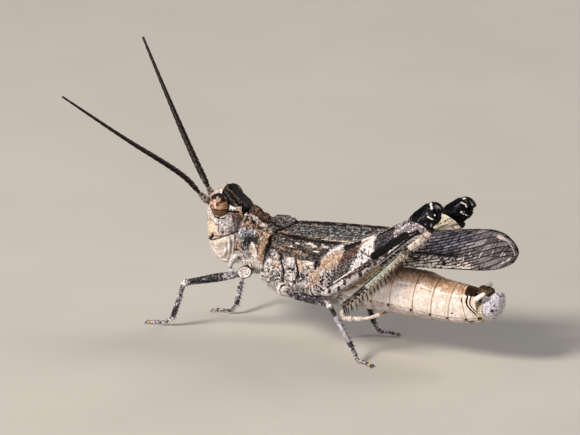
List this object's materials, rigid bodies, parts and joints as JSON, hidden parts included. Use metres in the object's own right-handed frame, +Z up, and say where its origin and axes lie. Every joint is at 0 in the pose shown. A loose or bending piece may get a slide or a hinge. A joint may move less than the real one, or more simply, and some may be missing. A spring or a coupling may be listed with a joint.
{
  "type": "longhorn band-winged grasshopper",
  "caption": "Male grasshopper standing still on its fore and mid legs, with its wings folded, its long feelers raised and its big hind legs folded and held up off the ground.",
  "frame": {"origin": "on the floor, under the middle of the whole animal's box", "axes": "+X from the head towards the wing tips, +Y to the animal's right, +Z up"},
  "size_m": [0.0284, 0.012, 0.0159],
  "materials": {
    "shell": "mottled grey, tan and black cuticle, finely granular",
    "pale_shell": "cream cuticle with a soft gloss",
    "dark_shell": "blackish brown cuticle",
    "eye": "brown compound eye, mottled, with a soft gloss",
    "feeler": "near-black brown, ringed",
    "fore_wing": "dark grey leathery fore wing with raised veins",
    "hind_wing": "thin pleated membrane, pale yellow with a dark band",
    "belly": "cream abdomen with rusty specks and a brown back",
    "leg": "lilac grey with black mottling and bands",
    "shin": "pale blue-green with a black end and rusty spines"
  },
  "bodies": {
    "root": {"eye_left": "eye", "antenna_base_left": "pale_shell", "eye_right": "eye", "antenna_base_right": "pale_shell", "head": "shell", "clypeus": "shell", "labrum": "pale_shell", "mandible_left": "pale_shell", "mandible_right": "pale_shell", "labium": "pale_shell", "palp_left": "pale_shell", "palp_right": "pale_shell", "antenna_left": "feeler", "antenna_right": "feeler", "pronotum": "shell", "prosternum": "shell", "tegmen_left": "fore_wing", "tegmen_right": "fore_wing", "hindwing_left": "hind_wing", "hindwing_right": "hind_wing", "pterothorax": "shell", "abdomen_1": "belly", "abdomen_2": "belly", "abdomen_3": "belly", "abdomen_4": "belly", "abdomen_5": "belly", "abdomen_6": "belly", "abdomen_7": "belly", "abdomen_8": "belly", "subgenital_plate": "shell", "epiproct": "dark_shell", "cercus_left": "belly", "cercus_right": "belly", "coxa_fore_left": "shell", "femur_fore_left": "leg", "tibia_fore_left": "leg", "tarsus_fore_left": "leg", "coxa_fore_right": "shell", "femur_fore_right": "leg", "tibia_fore_right": "leg", "tarsus_fore_right": "leg", "coxa_mid_left": "shell", "femur_mid_left": "leg", "tibia_mid_left": "leg", "tarsus_mid_left": "leg", "coxa_mid_right": "shell", "femur_mid_right": "leg", "tibia_mid_right": "leg", "tarsus_mid_right": "leg", "coxa_hind_left": "shell", "femur_hind_left": "leg", "tibia_hind_left": "shin", "tarsus_hind_left": "pale_shell", "coxa_hind_right": "shell", "femur_hind_right": "leg", "tibia_hind_right": "shin", "tarsus_hind_right": "pale_shell"}
  },
  "joints": []
}
